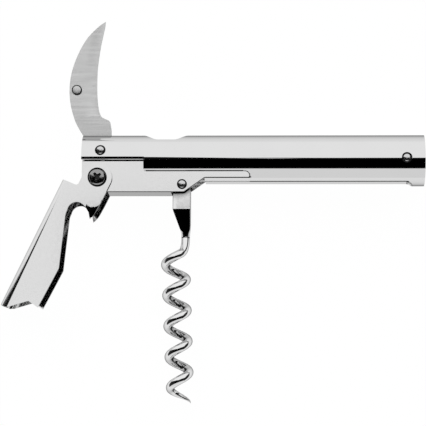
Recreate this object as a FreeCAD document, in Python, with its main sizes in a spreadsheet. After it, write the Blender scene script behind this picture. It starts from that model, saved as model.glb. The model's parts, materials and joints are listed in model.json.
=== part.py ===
"""Waiters corkscrew with a tube handle, as a parametric FreeCAD document.

The tool lies on its side, opened: +X runs along the handle towards its closed end, +Y points the way
the open blade stands, and +Z is up, across the tool.  Every hinge turns about a line parallel to Z.
The origin is under the middle of the opened tool.  All sizes are in millimetres.
"""
import FreeCAD, Part
import math
import os
import Sketcher

V = FreeCAD.Vector

# ---------------------------------------------------------------- driving dimensions
SIZES = {
    # handle tube
    "tube_radius": 8.5, "tube_wall": 0.9, "tube_left": -43.75, "tube_right": 69.7,
    "tube_axis_y": 17.3, "axis_height": 8.5,
    "roof_edge_y": 16.7, "roof_right": -23.2, "ledge_y": 13.3, "ledge_right": -3.0,
    "window_low_y": 10.9, "window_right": 12.4,
    "slot_half": 4.4, "slot_right": 64.3, "blade_slot_half": 1.1, "blade_slot_right": 6.8,
    "dip_left": -23.0, "dip_right": -8.6, "dip_flat_left": -18.8, "dip_flat_right": -12.8,
    "dip_depth": 2.0,
    # end plug
    "plug_x": 63.6, "plug_depth": 2.6, "plug_step_gap": 0.4, "plug_step_y": 15.2,
    # frame plates
    "plate_inner": 5.0, "plate_thick": 1.0, "plate_bottom": 6.2, "plate_top": 21.6,
    "plate_step_x": -22.6, "slope_left": -9.9, "slope_right": -2.9,
    "tongue_low": 11.0, "tongue_top": 13.2, "tongue_right": 12.2, "tongue_arc": 2.3,
    "web_left": -42.0, "web_right": -14.2, "web_thick": 1.0,
    # pivots
    "lever_x": -38.5, "lever_y": 11.0, "blade_x": -37.5, "blade_y": 19.9,
    "worm_x": -10.5, "worm_y": 8.8,
    # pins and screw
    "pin_radius": 1.2, "pin_head_radius": 1.65, "pin_head_rise": 0.65, "pin_clear": 0.05,
    "fit_gap": 0.02, "head_gap": 0.04, "seat_gap": 0.06, "seat_clear": 0.1,
    "screw_radius": 1.5, "screw_head_radius": 3.15, "screw_head_rise": 1.3,
    "post_radius": 2.2, "post_flange_radius": 3.0, "post_flange_rise": 1.3,
    # rings on the pins
    "washer_thick": 0.43, "blade_washer": 2.6, "blade_spacer": 2.4, "worm_spacer": 2.1,
    "shim_radius": 4.2, "sleeve_radius": 3.2, "stop_radius": 0.9,
    # blade
    "blade_thick": 1.3, "stud_radius": 1.7, "stud_neck": 1.18, "stud_rise": 0.8,
    "stud_x": -8.75, "stud_y": 21.4, "stop_x": 6.4, "stop_y": -4.95,
    # worm
    "wire_radius": 1.4, "coil_pitch": 10.2, "coil_turns": 5.0,
    "shank_half": 3.5, "shank_half_width": 2.9, "shank_mid": -0.25, "shank_length": 8.0,
    # lever
    "lever_half_width": 7.1, "lever_sheet": 0.95, "lever_open_angle": 116.0,
    "lever_eye": 4.85, "lever_back": 10.05, "lever_bend": 1.8, "lever_bend_inner": 0.85,
}

doc = FreeCAD.newDocument("waiters_corkscrew")
sheet = doc.addObject("Spreadsheet::Sheet", "Sizes")
for row, (alias, value) in enumerate(SIZES.items(), start=1):
    sheet.set("A%d" % row, alias)
    sheet.set("B%d" % row, str(value))
    sheet.setAlias("B%d" % row, alias)
doc.recompute()


def size(alias):
    """The value of one cell of the sheet."""
    return float(sheet.get(alias))


# ---------------------------------------------------------------- helpers
def place(part, x="0", y="0", z="Sizes.axis_height"):
    """Bind a sub-part's position to the sheet."""
    part.setExpression("Placement.Base.x", x)
    part.setExpression("Placement.Base.y", y)
    part.setExpression("Placement.Base.z", z)


def body(label):
    """A new PartDesign body with its own label."""
    made = doc.addObject("PartDesign::Body", label)
    made.Label = label
    return made


def sketch_on(owner, role, name, lift=None):
    """A sketch on one of the body's origin planes, lifted off it by an expression if one is given."""
    sketch = owner.newObject("Sketcher::SketchObject", name)
    plane = next(item for item in owner.Origin.OriginFeatures if item.Role == role)
    sketch.AttachmentSupport = [(plane, "")]
    sketch.MapMode = "FlatFace"
    if lift:
        sketch.setExpression("AttachmentOffset.Base.z", lift)
    return sketch


def evaluate(text):
    """The value of a point coordinate: a number, or an expression in the sheet's aliases."""
    if isinstance(text, str):
        return float(sheet.evalExpression(text))
    return float(text)


def pin_point(sketch, geometry, position, x, y):
    """Hold a sketch point at x and y; text is an expression in the sheet's cells."""
    for kind, value in (("DistanceX", x), ("DistanceY", y)):
        constraint = Sketcher.Constraint(kind, -1, 1, geometry, position, evaluate(value))
        index = sketch.addConstraint(constraint)
        if isinstance(value, str):
            sketch.setExpression("Constraints[%d]" % index, value)


def hold_centre(sketch, geometry, chord):
    """Fix an arc's last freedom by the coordinate of its centre that runs most across the chord."""
    centre = sketch.Geometry[geometry].Center
    if abs(chord.y) > abs(chord.x):
        sketch.addConstraint(Sketcher.Constraint("DistanceX", -1, 1, geometry, 3, centre.x))
    else:
        sketch.addConstraint(Sketcher.Constraint("DistanceY", -1, 1, geometry, 3, centre.y))


def outline(sketch, points):
    """A closed outline.  A point is (x, y), or (x, y, via) where an arc reaches it through via."""
    spots = [(evaluate(point[0]), evaluate(point[1])) for point in points]
    ends = []
    for index, point in enumerate(points):
        start = V(*spots[index - 1], 0)
        end = V(*spots[index], 0)
        if len(point) == 3:
            number = sketch.addGeometry(Part.Arc(start, V(*point[2], 0), end))
            turned_round = sketch.getPoint(number, 1).distanceToPoint(start) > 1e-6
            ends.append((number, 2, 1) if turned_round else (number, 1, 2))
            hold_centre(sketch, number, end - start)
        else:
            number = sketch.addGeometry(Part.LineSegment(start, end))
            ends.append((number, 1, 2))
    for index, (number, _, last) in enumerate(ends):
        following = ends[(index + 1) % len(ends)]
        sketch.addConstraint(Sketcher.Constraint("Coincident", number, last, following[0], following[1]))
        pin_point(sketch, number, last, points[index][0], points[index][1])


def circle(sketch, radius, x=0.0, y=0.0):
    """A circle whose radius is an expression, centred at x, y."""
    spot = V(evaluate(x), evaluate(y), 0)
    number = sketch.addGeometry(Part.Circle(spot, V(0, 0, 1), evaluate(radius)))
    index = sketch.addConstraint(Sketcher.Constraint("Radius", number, evaluate(radius)))
    sketch.setExpression("Constraints[%d]" % index, radius)
    if spot.Length < 1e-9:
        sketch.addConstraint(Sketcher.Constraint("Coincident", number, 3, -1, 1))
    else:
        pin_point(sketch, number, 3, x, y)


def pad(owner, sketch, length, middle=True):
    """Extrude a sketch, to both sides of its plane unless middle is False."""
    feature = owner.newObject("PartDesign::Pad", sketch.Name + "_pad")
    feature.Profile = sketch
    feature.setExpression("Length", length)
    feature.SideType = "Symmetric" if middle else "One side"
    sketch.Visibility = False
    doc.recompute()
    return feature


def pocket(owner, sketch, length=None, middle=True, reverse=False):
    """Cut a sketch out of the body and make sure that something was cut."""
    before = owner.Shape.Volume
    feature = owner.newObject("PartDesign::Pocket", sketch.Name + "_cut")
    feature.Profile = sketch
    feature.SideType = "Symmetric" if middle else "One side"
    feature.Reversed = reverse
    if length:
        feature.setExpression("Length", length)
    else:
        feature.Type = "ThroughAll"
    doc.recompute()
    if owner.Shape.Volume > before - 1e-3:
        raise RuntimeError(sketch.Name + " cuts nothing")
    return feature


def turned(label, points):
    """A turned piece: an outline of (radius, height) revolved about the local Z axis."""
    made = body(label)
    sketch = sketch_on(made, "XZ_Plane", label + "_profile")
    outline(sketch, points)
    feature = made.newObject("PartDesign::Revolution", label + "_turn")
    feature.Profile = sketch
    feature.ReferenceAxis = (sketch, ["V_Axis"])
    feature.Angle = 360.0
    doc.recompute()
    return made


def rivet(label, half_length):
    """A round pin through both sides with a domed head at each end, half_length being an expression."""
    half = evaluate(half_length)
    radius = size("pin_radius")
    head = size("pin_head_radius")
    crown = half + size("pin_head_rise")
    flat = 0.3 * head
    bulge = (head * 0.76, half + size("pin_head_rise") * 0.72)
    return turned(label, [
        (0, -crown),
        (flat, -crown),
        (head, -half, (bulge[0], -bulge[1])),
        ("Sizes.pin_radius", -half),
        (radius, half),
        ("Sizes.pin_head_radius", half),
        (flat, crown, bulge),
        (0, crown),
    ])


def ring_pair(label, outer, inner, low, high):
    """Two equal rings, mirrored across the middle of the tool, from low to high on each side."""
    rings = []
    for side in (1, -1):
        span = (evaluate(high) - evaluate(low))
        start = evaluate(low) if side > 0 else -evaluate(high)
        ring = Part.makeCylinder(evaluate(outer), span, V(0, 0, start))
        hole = Part.makeCylinder(evaluate(inner), span, V(0, 0, start))
        rings.append(ring.cut(hole))
    made = doc.addObject("Part::Feature", label)
    made.Label = label
    made.Shape = Part.makeCompound(rings)
    return made


def corner_bulge(right, top):
    """The middle point of the rounded corner that ends the tongue and its window."""
    return (right - 0.62, top - 0.72)


# ---------------------------------------------------------------- handle
def make_tube():
    """The round handle tube with its cut-outs for the plates, the worm, the blade and the thumb."""
    tube = body("handle_tube")
    ring = sketch_on(tube, "YZ_Plane", "tube_ring", "Sizes.tube_left")
    circle(ring, "Sizes.tube_radius", "Sizes.tube_axis_y")
    circle(ring, "Sizes.tube_radius - Sizes.tube_wall", "Sizes.tube_axis_y")
    pad(tube, ring, "Sizes.tube_right - Sizes.tube_left", middle=False)

    lower = sketch_on(tube, "XY_Plane", "tube_lower")
    outline(lower, [
        ("Sizes.tube_left - 1", 0),
        ("Sizes.ledge_right", 0),
        ("Sizes.ledge_right", "Sizes.ledge_y"),
        ("Sizes.roof_right", "Sizes.ledge_y"),
        ("Sizes.roof_right", "Sizes.roof_edge_y"),
        ("Sizes.tube_left - 1", "Sizes.roof_edge_y"),
    ])
    pocket(tube, lower)

    window = sketch_on(tube, "XY_Plane", "tube_window")
    right = size("window_right")
    outline(window, [
        ("Sizes.ledge_right - 1", "Sizes.window_low_y"),
        ("Sizes.window_right", "Sizes.window_low_y"),
        ("Sizes.window_right - Sizes.tongue_arc", "Sizes.ledge_y", corner_bulge(right, size("ledge_y"))),
        ("Sizes.ledge_right - 1", "Sizes.ledge_y"),
    ])
    pocket(tube, window)

    slot = sketch_on(tube, "XZ_Plane", "tube_slot")
    end = size("slot_right")
    half = size("slot_half")
    outline(slot, [
        ("Sizes.ledge_right - 1", "-Sizes.slot_half"),
        ("Sizes.slot_right - Sizes.slot_half", "-Sizes.slot_half"),
        ("Sizes.slot_right - Sizes.slot_half", "Sizes.slot_half", (end, 0.0)),
        ("Sizes.ledge_right - 1", "Sizes.slot_half"),
    ])
    pocket(tube, slot, "Sizes.tube_axis_y", middle=False)

    groove = sketch_on(tube, "XZ_Plane", "tube_blade_slot", "-Sizes.tube_axis_y")
    tip = size("blade_slot_right")
    outline(groove, [
        ("Sizes.tube_left - 1", "-Sizes.blade_slot_half"),
        ("Sizes.blade_slot_right - Sizes.blade_slot_half", "-Sizes.blade_slot_half"),
        ("Sizes.blade_slot_right - Sizes.blade_slot_half", "Sizes.blade_slot_half", (tip, 0.0)),
        ("Sizes.tube_left - 1", "Sizes.blade_slot_half"),
    ])
    pocket(tube, groove, "Sizes.tube_radius + 1", middle=False)

    dip = sketch_on(tube, "XY_Plane", "tube_thumb_dip")
    crest = size("tube_axis_y") + size("tube_radius")
    floor = crest - size("dip_depth")
    above = crest + 0.1
    run_in = 1.9
    rise = floor + 0.45
    outline(dip, [
        ("Sizes.dip_left", above),
        ("Sizes.dip_flat_left", floor, (size("dip_left") + run_in, rise)),
        ("Sizes.dip_flat_right", floor),
        ("Sizes.dip_right", above, (size("dip_right") - run_in, rise)),
    ])
    pocket(tube, dip)

    holes = sketch_on(tube, "XY_Plane", "tube_pin_holes")
    circle(holes, "Sizes.pin_radius + Sizes.fit_gap", "Sizes.blade_x", "Sizes.blade_y")
    circle(holes, "Sizes.pin_radius + Sizes.fit_gap", "Sizes.plug_x", "Sizes.tube_axis_y")
    pocket(tube, holes)
    for side in (1, -1):
        seat = sketch_on(tube, "XY_Plane", "pin_seat_%s" % ("front" if side > 0 else "rear"),
                         "%d * (Sizes.tube_radius - Sizes.pin_head_rise - Sizes.seat_gap)" % side)
        circle(seat, "Sizes.pin_head_radius + Sizes.seat_clear", "Sizes.blade_x", "Sizes.blade_y")
        circle(seat, "Sizes.pin_head_radius + Sizes.seat_clear", "Sizes.plug_x", "Sizes.tube_axis_y")
        pocket(tube, seat, "3 * Sizes.pin_head_rise", middle=False, reverse=side > 0)
    place(tube)
    return tube


def make_end_plug():
    """The plug that closes the handle's right end, with a step that leaves room for the worm's point."""
    plug = body("end_plug")
    disc = sketch_on(plug, "YZ_Plane", "plug_disc", "Sizes.plug_x - Sizes.plug_depth")
    circle(disc, "Sizes.tube_radius - Sizes.tube_wall - Sizes.fit_gap", "Sizes.tube_axis_y")
    pad(plug, disc, "Sizes.tube_right - Sizes.plug_x + Sizes.plug_depth", middle=False)
    step = sketch_on(plug, "XY_Plane", "plug_step")
    outline(step, [
        ("Sizes.plug_x - Sizes.plug_depth - 1", 0),
        ("Sizes.slot_right + Sizes.plug_step_gap", 0),
        ("Sizes.slot_right + Sizes.plug_step_gap", "Sizes.plug_step_y"),
        ("Sizes.plug_x - Sizes.plug_depth - 1", "Sizes.plug_step_y"),
    ])
    pocket(plug, step)
    hole = sketch_on(plug, "XY_Plane", "plug_hole")
    circle(hole, "Sizes.pin_radius + Sizes.fit_gap", "Sizes.plug_x", "Sizes.tube_axis_y")
    pocket(plug, hole)
    place(plug)
    return plug


def make_side_plate(label, side):
    """One frame plate: deep at the lever, with a tongue that lies in the tube's window."""
    plate = body(label)
    low = "Sizes.plate_inner" if side > 0 else "-Sizes.plate_inner - Sizes.plate_thick"
    sketch = sketch_on(plate, "XY_Plane", label + "_outline", low)
    right = size("tongue_right")
    top = size("tongue_top")
    corner = corner_bulge(right, top)
    outline(sketch, [
        ("Sizes.tube_left", "Sizes.plate_bottom"),
        ("Sizes.slope_left", "Sizes.plate_bottom"),
        ("Sizes.slope_right", "Sizes.tongue_low"),
        ("Sizes.tongue_right", "Sizes.tongue_low"),
        ("Sizes.tongue_right - Sizes.tongue_arc", "Sizes.tongue_top", corner),
        ("Sizes.plate_step_x", "Sizes.tongue_top"),
        ("Sizes.plate_step_x", "Sizes.plate_top"),
        ("Sizes.tube_left", "Sizes.plate_top"),
    ])
    pad(plate, sketch, "Sizes.plate_thick", middle=False)
    holes = sketch_on(plate, "XY_Plane", label + "_holes")
    circle(holes, "Sizes.pin_radius + Sizes.fit_gap", "Sizes.blade_x", "Sizes.blade_y")
    circle(holes, "Sizes.pin_radius + Sizes.fit_gap", "Sizes.worm_x", "Sizes.worm_y")
    circle(holes, "Sizes.post_radius + Sizes.fit_gap", "Sizes.lever_x", "Sizes.lever_y")
    pocket(plate, holes)
    place(plate)
    return plate


# ---------------------------------------------------------------- blade
def make_blade():
    """The curved foil blade, standing up from its pivot, with its edge on the +X side."""
    blade = body("blade")
    sketch = sketch_on(blade, "XY_Plane", "blade_outline")
    outline(sketch, [
        (3.0, 6.3),
        (2.95, 7.9),
        (2.2, 10.9),
        (-0.1, 12.05),
        (-0.65, 12.45),
        (-2.0, 24.5, (-1.65, 16.55)),
        (0.45, 42.7, (-1.2, 33.0)),
        (0.7, 44.8),
        (-1.4, 43.3),
        (-8.1, 34.55, (-5.3, 39.25)),
        (-9.45, 11.45, (-11.25, 22.9)),
        (-6.35, 5.7, (-8.2, 8.5)),
        (-2.6, -2.5, (-4.1, 1.6)),
        (2.6, -2.5, (0.0, -3.6)),
    ])
    pad(blade, sketch, "Sizes.blade_thick")
    holes = sketch_on(blade, "XY_Plane", "blade_holes")
    circle(holes, "Sizes.pin_radius + Sizes.pin_clear")
    circle(holes, "Sizes.stud_neck + Sizes.fit_gap", "Sizes.stud_x", "Sizes.stud_y")
    pocket(blade, holes)
    place(blade, "Sizes.blade_x", "Sizes.blade_y")
    return blade


def make_blade_stud():
    """The round thumb stud that stands out of both faces of the blade."""
    half = size("blade_thick") / 2
    crown = half + size("stud_rise")
    neck = size("stud_neck")
    rim = size("stud_radius")
    chamfer = 0.3
    stud = turned("blade_stud", [
        (0, -crown),
        (rim - chamfer, -crown),
        ("Sizes.stud_radius", -crown + chamfer),
        (rim, -half),
        (neck, -half),
        (neck, half),
        (rim, half),
        ("Sizes.stud_radius", crown - chamfer),
        (rim - chamfer, crown),
        (0, crown),
    ])
    place(stud, "Sizes.blade_x + Sizes.stud_x", "Sizes.blade_y + Sizes.stud_y")
    return stud


# ---------------------------------------------------------------- worm
COIL_TOP = -21.2          # height of the first turn below the worm's pivot
COIL_OFFSET = -2.4        # the coil's axis, beside the pivot
COIL_LEAN = 2.2           # degrees that the coil leans back towards the pivot line
COIL_RADIUS = 3.45        # wire centre line, first turn
COIL_TAPER = -0.3         # degrees
POINT_RADIUS = 0.25       # wire at the tip
NECK_DROP = 1.2           # the neck meets the wire this far above the first turn


def coil_wire(turns, start_turn=0.0):
    """The wire of some turns of the right-handed coil, running down from its top."""
    pitch = size("coil_pitch")
    drop = start_turn * pitch
    radius = COIL_RADIUS + drop * math.tan(math.radians(COIL_TAPER))
    helix = Part.makeHelix(pitch, turns * pitch, radius, COIL_TAPER)
    helix.rotate(V(0, 0, 0), V(0, 0, 1), 360.0 * start_turn)
    helix.translate(V(0, 0, drop))
    return helix


def level_rectangle(x, y, half_x, half_z):
    """A rectangle in the plane of constant y, centred at x."""
    corners = [V(x - half_x, y, -half_z), V(x + half_x, y, -half_z),
               V(x + half_x, y, half_z), V(x - half_x, y, half_z)]
    return Part.makePolygon(corners + corners[:1])


def make_worm():
    """The worm: a flat forged shank that narrows into a round wire, coiled and pointed."""
    wire = size("wire_radius")
    turns = size("coil_turns")
    main = coil_wire(turns - 0.5)
    start = V(COIL_RADIUS, 0, 0)
    tangent = main.Edges[0].tangentAt(main.Edges[0].FirstParameter)
    profile = Part.Wire(Part.makeCircle(wire, start, tangent))
    coil = Part.Wire(main.Edges).makePipeShell([profile], True, True)
    last = coil_wire(0.5, turns - 0.5)
    edge = last.Edges[0]
    begin = edge.valueAt(edge.FirstParameter)
    finish = edge.valueAt(edge.LastParameter)
    wide = Part.Wire(Part.makeCircle(wire, begin, edge.tangentAt(edge.FirstParameter)))
    narrow = Part.Wire(Part.makeCircle(POINT_RADIUS, finish, edge.tangentAt(edge.LastParameter)))
    point = Part.Wire(last.Edges).makePipeShell([wide, narrow], True, True)
    bend = Part.makeSphere(wire * 1.02, start)
    coiled = coil.fuse([point, bend])
    # the coil was made along +Z: lay it down along -Y with its start at the +X side
    coiled.rotate(V(0, 0, 0), V(1, 0, 0), 90)
    coiled.translate(V(COIL_OFFSET, COIL_TOP, 0))
    coiled.rotate(V(COIL_OFFSET, COIL_TOP, 0), V(0, 0, 1), COIL_LEAN)

    thick = size("shank_half")
    half = size("shank_half_width")
    mid = size("shank_mid")
    foot = -size("shank_length")
    block = Part.makeBox(2 * half, -foot, 2 * thick, V(mid - half, foot, -thick))
    top = Part.makeCylinder(half, 2 * thick, V(mid, 0, -thick))
    low = COIL_TOP + NECK_DROP
    low_x = COIL_OFFSET + COIL_RADIUS
    small = wire * 0.93
    neck = Part.makeLoft([level_rectangle(mid, foot, half, thick),
                          level_rectangle(low_x, low, small, small)], True, True)
    neck_end = Part.makeSphere(wire * 1.15, V(low_x, low, 0))
    hole = Part.makeCylinder(size("pin_radius") + size("pin_clear"), 4 * thick, V(0, 0, -2 * thick))
    shape = block.fuse([top, neck, neck_end, coiled]).cut(hole)
    worm = doc.addObject("Part::Feature", "worm")
    worm.Label = "worm"
    worm.Shape = shape.removeSplitter()
    place(worm, "Sizes.worm_x", "Sizes.worm_y")
    return worm


# ---------------------------------------------------------------- lever
def make_lever():
    """The bottle lever: a channel folded from sheet, drawn closed, then swung open about its eye."""
    lever = body("lever")
    sketch = sketch_on(lever, "XY_Plane", "lever_side")
    eye = size("lever_eye")
    outline(sketch, [
        (5.6, "-Sizes.lever_back"),
        (51.9, "-Sizes.lever_back"),
        (51.3, -7.1),
        (46.6, -2.4),
        (47.1, 1.6),
        (32.5, 2.0),
        (15.9, -3.9),
        (14.0, -4.1),
        (10.85, 1.3, (10.05, -1.8)),
        (11.7, 2.6),
        (13.5, 3.9),
        (6.6, 4.84),
        (0.6, "Sizes.lever_eye - 0.04"),
        (1.3, "-Sizes.lever_eye + 0.18", (-eye, 0.0)),
        (4.4, "-Sizes.lever_eye + 0.18"),
        (5.4, -5.6, (5.1, -4.95)),
    ])
    pad(lever, sketch, "2 * Sizes.lever_half_width")
    inside = sketch_on(lever, "XY_Plane", "lever_inside")
    outline(inside, [
        (-10, "-Sizes.lever_back + Sizes.lever_sheet"),
        (60, "-Sizes.lever_back + Sizes.lever_sheet"),
        (60, 10),
        (-10, 10),
    ])
    pocket(lever, inside, "2 * (Sizes.lever_half_width - Sizes.lever_sheet)")
    eye_hole = sketch_on(lever, "XY_Plane", "lever_eye_hole")
    circle(eye_hole, "Sizes.post_radius + Sizes.pin_clear")
    cut = pocket(lever, eye_hole)
    back = -size("lever_back")
    inner = size("lever_half_width") - size("lever_sheet")
    outer_edges = edges_along_x(cut.Shape, back, size("lever_half_width"))
    rounded = lever.newObject("PartDesign::Fillet", "lever_outer_bend")
    rounded.Base = (cut, outer_edges)
    rounded.setExpression("Radius", "Sizes.lever_bend")
    doc.recompute()
    inner_edges = edges_along_x(rounded.Shape, back + size("lever_sheet"), inner)
    hollow = lever.newObject("PartDesign::Fillet", "lever_inner_bend")
    hollow.Base = (rounded, inner_edges)
    hollow.setExpression("Radius", "Sizes.lever_bend_inner")
    doc.recompute()
    lever.Placement = FreeCAD.Placement(V(0, 0, 0), FreeCAD.Rotation(V(0, 0, 1), -size("lever_open_angle")))
    place(lever, "Sizes.lever_x", "Sizes.lever_y")
    return lever


def edges_along_x(shape, y, z):
    """Names of the straight edges that run along X at height y and at z on either side."""
    names = []
    for number, edge in enumerate(shape.Edges, start=1):
        box = edge.BoundBox
        along = box.XLength > 20 and box.YLength < 1e-4 and box.ZLength < 1e-4
        if along and abs(box.YMin - y) < 1e-3 and abs(abs(box.ZMin) - z) < 1e-3:
            names.append("Edge%d" % number)
    return names


def make_lever_fastening():
    """The post that the lever turns on, and the cross-head screw that holds it."""
    half = size("lever_half_width")
    flange = half + size("pin_clear") + 0.03
    crown = flange + size("post_flange_rise")
    screw = size("screw_radius")
    chamfer = 0.4
    bore = screw + size("fit_gap")
    bore_floor = -flange + 2.0
    shoulder = flange - size("head_gap")
    post = turned("lever_post", [
        (0, -crown),
        (size("post_flange_radius") - chamfer, -crown),
        ("Sizes.post_flange_radius", -crown + chamfer),
        (size("post_flange_radius"), -flange),
        (size("post_radius"), -flange),
        ("Sizes.post_radius", shoulder),
        (bore, shoulder),
        (bore, bore_floor),
        (0, bore_floor),
    ])
    place(post, "Sizes.lever_x", "Sizes.lever_y")
    head = size("screw_head_radius")
    top = flange + size("screw_head_rise")
    end = bore_floor + 0.4
    rim_top = flange + 0.45
    crown_edge = (head - 1.0, top, (head - 0.28, top - 0.3))
    recess_depth = 0.9
    fastener = turned("lever_screw", [
        (0, end),
        (screw, end),
        (screw, flange),
        ("Sizes.screw_head_radius", flange),
        (head, rim_top),
        crown_edge,
        (0, top),
    ])
    cross = sketch_on(fastener, "XY_Plane", "screw_cross", "%s" % (top - recess_depth))
    arm = 1.5
    web = 0.35
    outline(cross, [
        (arm, -web), (arm, web), (web, web), (web, arm), (-web, arm), (-web, web),
        (-arm, web), (-arm, -web), (-web, -web), (-web, -arm), (web, -arm), (web, -web),
    ])
    pocket(fastener, cross, "2", middle=False, reverse=True)
    place(fastener, "Sizes.lever_x", "Sizes.lever_y")
    return post, fastener


# ---------------------------------------------------------------- pins, spacers and washers
def make_small_parts():
    """Rivets, the tubes and rings on them, and the pin that the folded blade stops against."""
    tube_seat = "Sizes.tube_radius - Sizes.pin_head_rise - Sizes.head_gap"
    plate_seat = "Sizes.plate_inner + Sizes.plate_thick + Sizes.fit_gap"
    blade_pin = rivet("blade_pin", tube_seat)
    place(blade_pin, "Sizes.blade_x", "Sizes.blade_y")
    plug_pin = rivet("plug_pin", tube_seat)
    place(plug_pin, "Sizes.plug_x", "Sizes.tube_axis_y")
    worm_pin = rivet("worm_pin", plate_seat)
    place(worm_pin, "Sizes.worm_x", "Sizes.worm_y")

    bore = "Sizes.pin_radius + Sizes.fit_gap"
    reach = "Sizes.plate_inner - Sizes.fit_gap"
    blade_face = "Sizes.blade_thick / 2 + Sizes.fit_gap"
    blade_wave = "Sizes.blade_thick / 2 + Sizes.washer_thick"
    spring = ring_pair("blade_spring_washers", "Sizes.blade_washer", bore, blade_face, blade_wave)
    place(spring, "Sizes.blade_x", "Sizes.blade_y")
    spacers = ring_pair("blade_spacers", "Sizes.blade_spacer", bore, blade_wave + " + Sizes.fit_gap", reach)
    place(spacers, "Sizes.blade_x", "Sizes.blade_y")
    shank_face = "Sizes.shank_half + Sizes.fit_gap"
    shank_wave = "Sizes.shank_half + Sizes.washer_thick"
    washers = ring_pair("worm_spring_washers", "Sizes.worm_spacer", bore, shank_face, shank_wave)
    place(washers, "Sizes.worm_x", "Sizes.worm_y")
    collars = ring_pair("worm_spacers", "Sizes.worm_spacer", bore, shank_wave + " + Sizes.fit_gap", reach)
    place(collars, "Sizes.worm_x", "Sizes.worm_y")

    shim_high = "Sizes.lever_half_width - Sizes.lever_sheet - Sizes.fit_gap"
    post_bore = "Sizes.post_radius + Sizes.fit_gap"
    shims = ring_pair("lever_shims", "Sizes.shim_radius", post_bore, plate_seat, shim_high)
    place(shims, "Sizes.lever_x", "Sizes.lever_y")

    sleeve = doc.addObject("Part::Cut", "frame_spacer")
    sleeve.Label = "frame_spacer"
    for role, radius in (("Base", "Sizes.sleeve_radius"), ("Tool", post_bore)):
        cylinder = doc.addObject("Part::Cylinder", "frame_spacer_" + role.lower())
        cylinder.setExpression("Radius", radius)
        cylinder.setExpression("Height", "2 * (Sizes.plate_inner - Sizes.fit_gap)")
        cylinder.setExpression("Placement.Base.z", "-Sizes.plate_inner + Sizes.fit_gap")
        setattr(sleeve, role, cylinder)
    place(sleeve, "Sizes.lever_x", "Sizes.lever_y")

    stop = doc.addObject("Part::Cylinder", "blade_stop_pin")
    stop.Label = "blade_stop_pin"
    stop.setExpression("Radius", "Sizes.stop_radius")
    stop.setExpression("Height", "2 * (Sizes.plate_inner - Sizes.fit_gap)")
    place(stop, "Sizes.blade_x + Sizes.stop_x", "Sizes.blade_y + Sizes.stop_y",
          "Sizes.axis_height - Sizes.plate_inner + Sizes.fit_gap")

    # flat floor between the two plates, level with their lower edges
    web = doc.addObject("Part::Box", "frame_web")
    web.Label = "frame_web"
    web.setExpression("Length", "Sizes.web_right - Sizes.web_left")
    web.setExpression("Width", "Sizes.web_thick")
    web.setExpression("Height", "2 * (Sizes.plate_inner - Sizes.fit_gap)")
    place(web, "Sizes.web_left", "Sizes.plate_bottom", "Sizes.axis_height - Sizes.plate_inner + Sizes.fit_gap")
    return [blade_pin, plug_pin, worm_pin, spring, spacers, washers, collars, shims, sleeve, stop, web]


# ---------------------------------------------------------------- assembly
def check(parts):
    """Stop if any object failed or any sub-part has no valid solid."""
    for item in doc.Objects:
        if "Invalid" in item.State or "Error" in item.State:
            raise RuntimeError("%s failed: %s" % (item.Name, item.State))
    for part in parts:
        if part.Shape.isNull() or not part.Shape.isValid() or not part.Shape.Solids:
            raise RuntimeError("%s has no valid solid" % part.Label)


def main():
    parts = [make_tube(), make_end_plug()]
    parts.append(make_side_plate("front_side_plate", 1))
    parts.append(make_side_plate("rear_side_plate", -1))
    parts += [make_blade(), make_blade_stud(), make_worm(), make_lever()]
    parts += make_lever_fastening()
    parts += make_small_parts()
    doc.recompute()
    check(parts)
    os.makedirs("parts", exist_ok=True)
    whole = FreeCAD.BoundBox()
    for part in parts:
        part.Shape.exportStep(os.path.join("parts", part.Label + ".step"))
        whole.add(part.Shape.BoundBox)
        print("%-22s solids %d volume %.1f mm3" % (part.Label, len(part.Shape.Solids), part.Shape.Volume))
    print("box", whole)


main()
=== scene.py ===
"""Looks of the waiters corkscrew: fine sheet-metal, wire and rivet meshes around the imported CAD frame.

Shapes are drawn in millimetres in flat patterns and mapped to their places in metres.
"""
import json
import math

import bmesh
import bpy
from mathutils import Matrix, Vector


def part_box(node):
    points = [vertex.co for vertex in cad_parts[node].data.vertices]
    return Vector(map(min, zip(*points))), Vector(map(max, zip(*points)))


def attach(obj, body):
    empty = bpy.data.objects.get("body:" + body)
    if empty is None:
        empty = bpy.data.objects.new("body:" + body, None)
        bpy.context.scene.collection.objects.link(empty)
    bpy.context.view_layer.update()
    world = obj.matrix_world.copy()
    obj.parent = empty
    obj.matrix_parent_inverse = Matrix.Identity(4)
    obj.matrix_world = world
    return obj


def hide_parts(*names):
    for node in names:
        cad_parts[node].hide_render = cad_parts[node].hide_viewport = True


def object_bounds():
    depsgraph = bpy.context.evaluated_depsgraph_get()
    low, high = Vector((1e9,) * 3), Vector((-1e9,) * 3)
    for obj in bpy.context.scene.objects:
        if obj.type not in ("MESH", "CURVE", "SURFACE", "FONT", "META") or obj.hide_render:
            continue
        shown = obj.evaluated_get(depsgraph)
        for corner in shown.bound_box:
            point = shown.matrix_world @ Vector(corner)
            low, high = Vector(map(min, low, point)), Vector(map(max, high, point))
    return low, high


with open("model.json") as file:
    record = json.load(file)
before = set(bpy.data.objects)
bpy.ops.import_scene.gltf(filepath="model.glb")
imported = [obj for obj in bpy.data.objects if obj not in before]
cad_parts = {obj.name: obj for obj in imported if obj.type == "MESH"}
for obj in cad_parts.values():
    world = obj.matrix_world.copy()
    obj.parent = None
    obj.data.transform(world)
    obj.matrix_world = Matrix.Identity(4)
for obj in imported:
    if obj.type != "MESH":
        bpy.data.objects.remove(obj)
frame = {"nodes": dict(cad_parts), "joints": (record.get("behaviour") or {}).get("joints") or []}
CAD_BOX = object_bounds()

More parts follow.
